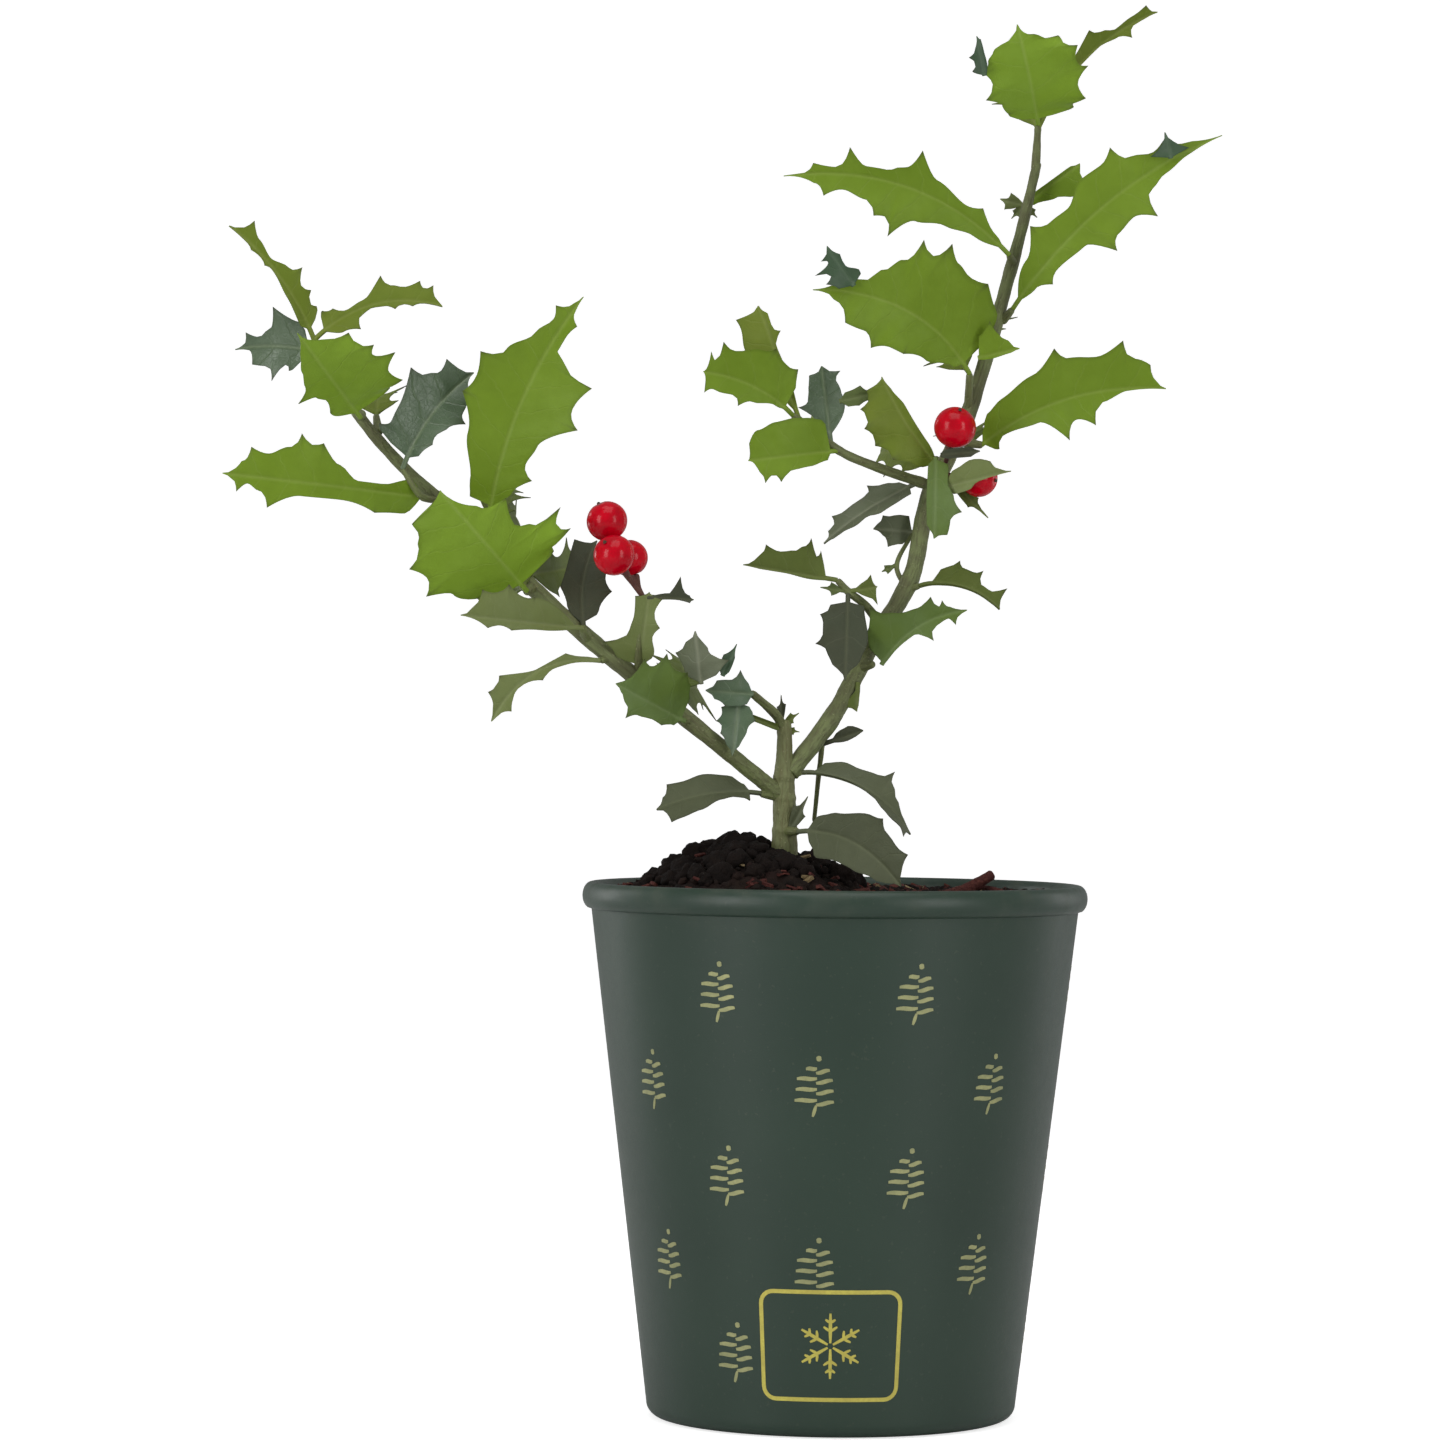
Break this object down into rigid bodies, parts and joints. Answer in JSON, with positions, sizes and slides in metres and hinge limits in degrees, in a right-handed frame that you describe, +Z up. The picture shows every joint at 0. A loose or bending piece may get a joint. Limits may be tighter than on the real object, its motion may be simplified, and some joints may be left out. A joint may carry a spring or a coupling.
{
  "type": "potted holly",
  "caption": "Young holly with spiny leaves and red berries on two boughs, standing in a round tapered pot with a rolled rim.",
  "frame": {"origin": "middle of the flat underside of the pot", "axes": "+Z up along the pot's axis, -Y towards the front of the plant, +X to the viewer's right"},
  "size_m": [0.2368, 0.1202, 0.3389],
  "materials": {
    "pot_plastic": "satin dark green",
    "soil": "loose dark compost with bark bits",
    "bark": "green young bark",
    "foliage": "glossy green leaves and shiny red berries"
  },
  "bodies": {
    "root": {"pot": "pot_plastic", "soil": "soil", "main_stem": "bark", "left_bough": "bark", "right_bough": "bark", "left_tip": "foliage", "left_crown": "foliage", "left_outer": "foliage", "left_upper": "foliage", "left_front": "foliage", "left_middle": "foliage", "left_droop": "foliage", "left_berries": "foliage", "left_inner": "foliage", "low_left": "foliage", "stem_top": "foliage", "low_right": "foliage", "low_front": "foliage", "hanging_twig": "foliage", "right_foot": "foliage", "right_lower": "foliage", "right_low": "foliage", "right_mid": "foliage", "right_twig": "foliage", "right_berries": "foliage", "right_side": "foliage", "right_inner": "foliage", "right_outer": "foliage", "right_upper": "foliage", "right_bud": "foliage", "right_tip": "foliage", "left_back_tip": "foliage", "left_back": "foliage", "left_back_low": "foliage", "right_back": "foliage", "right_back_high": "foliage"}
  },
  "joints": []
}
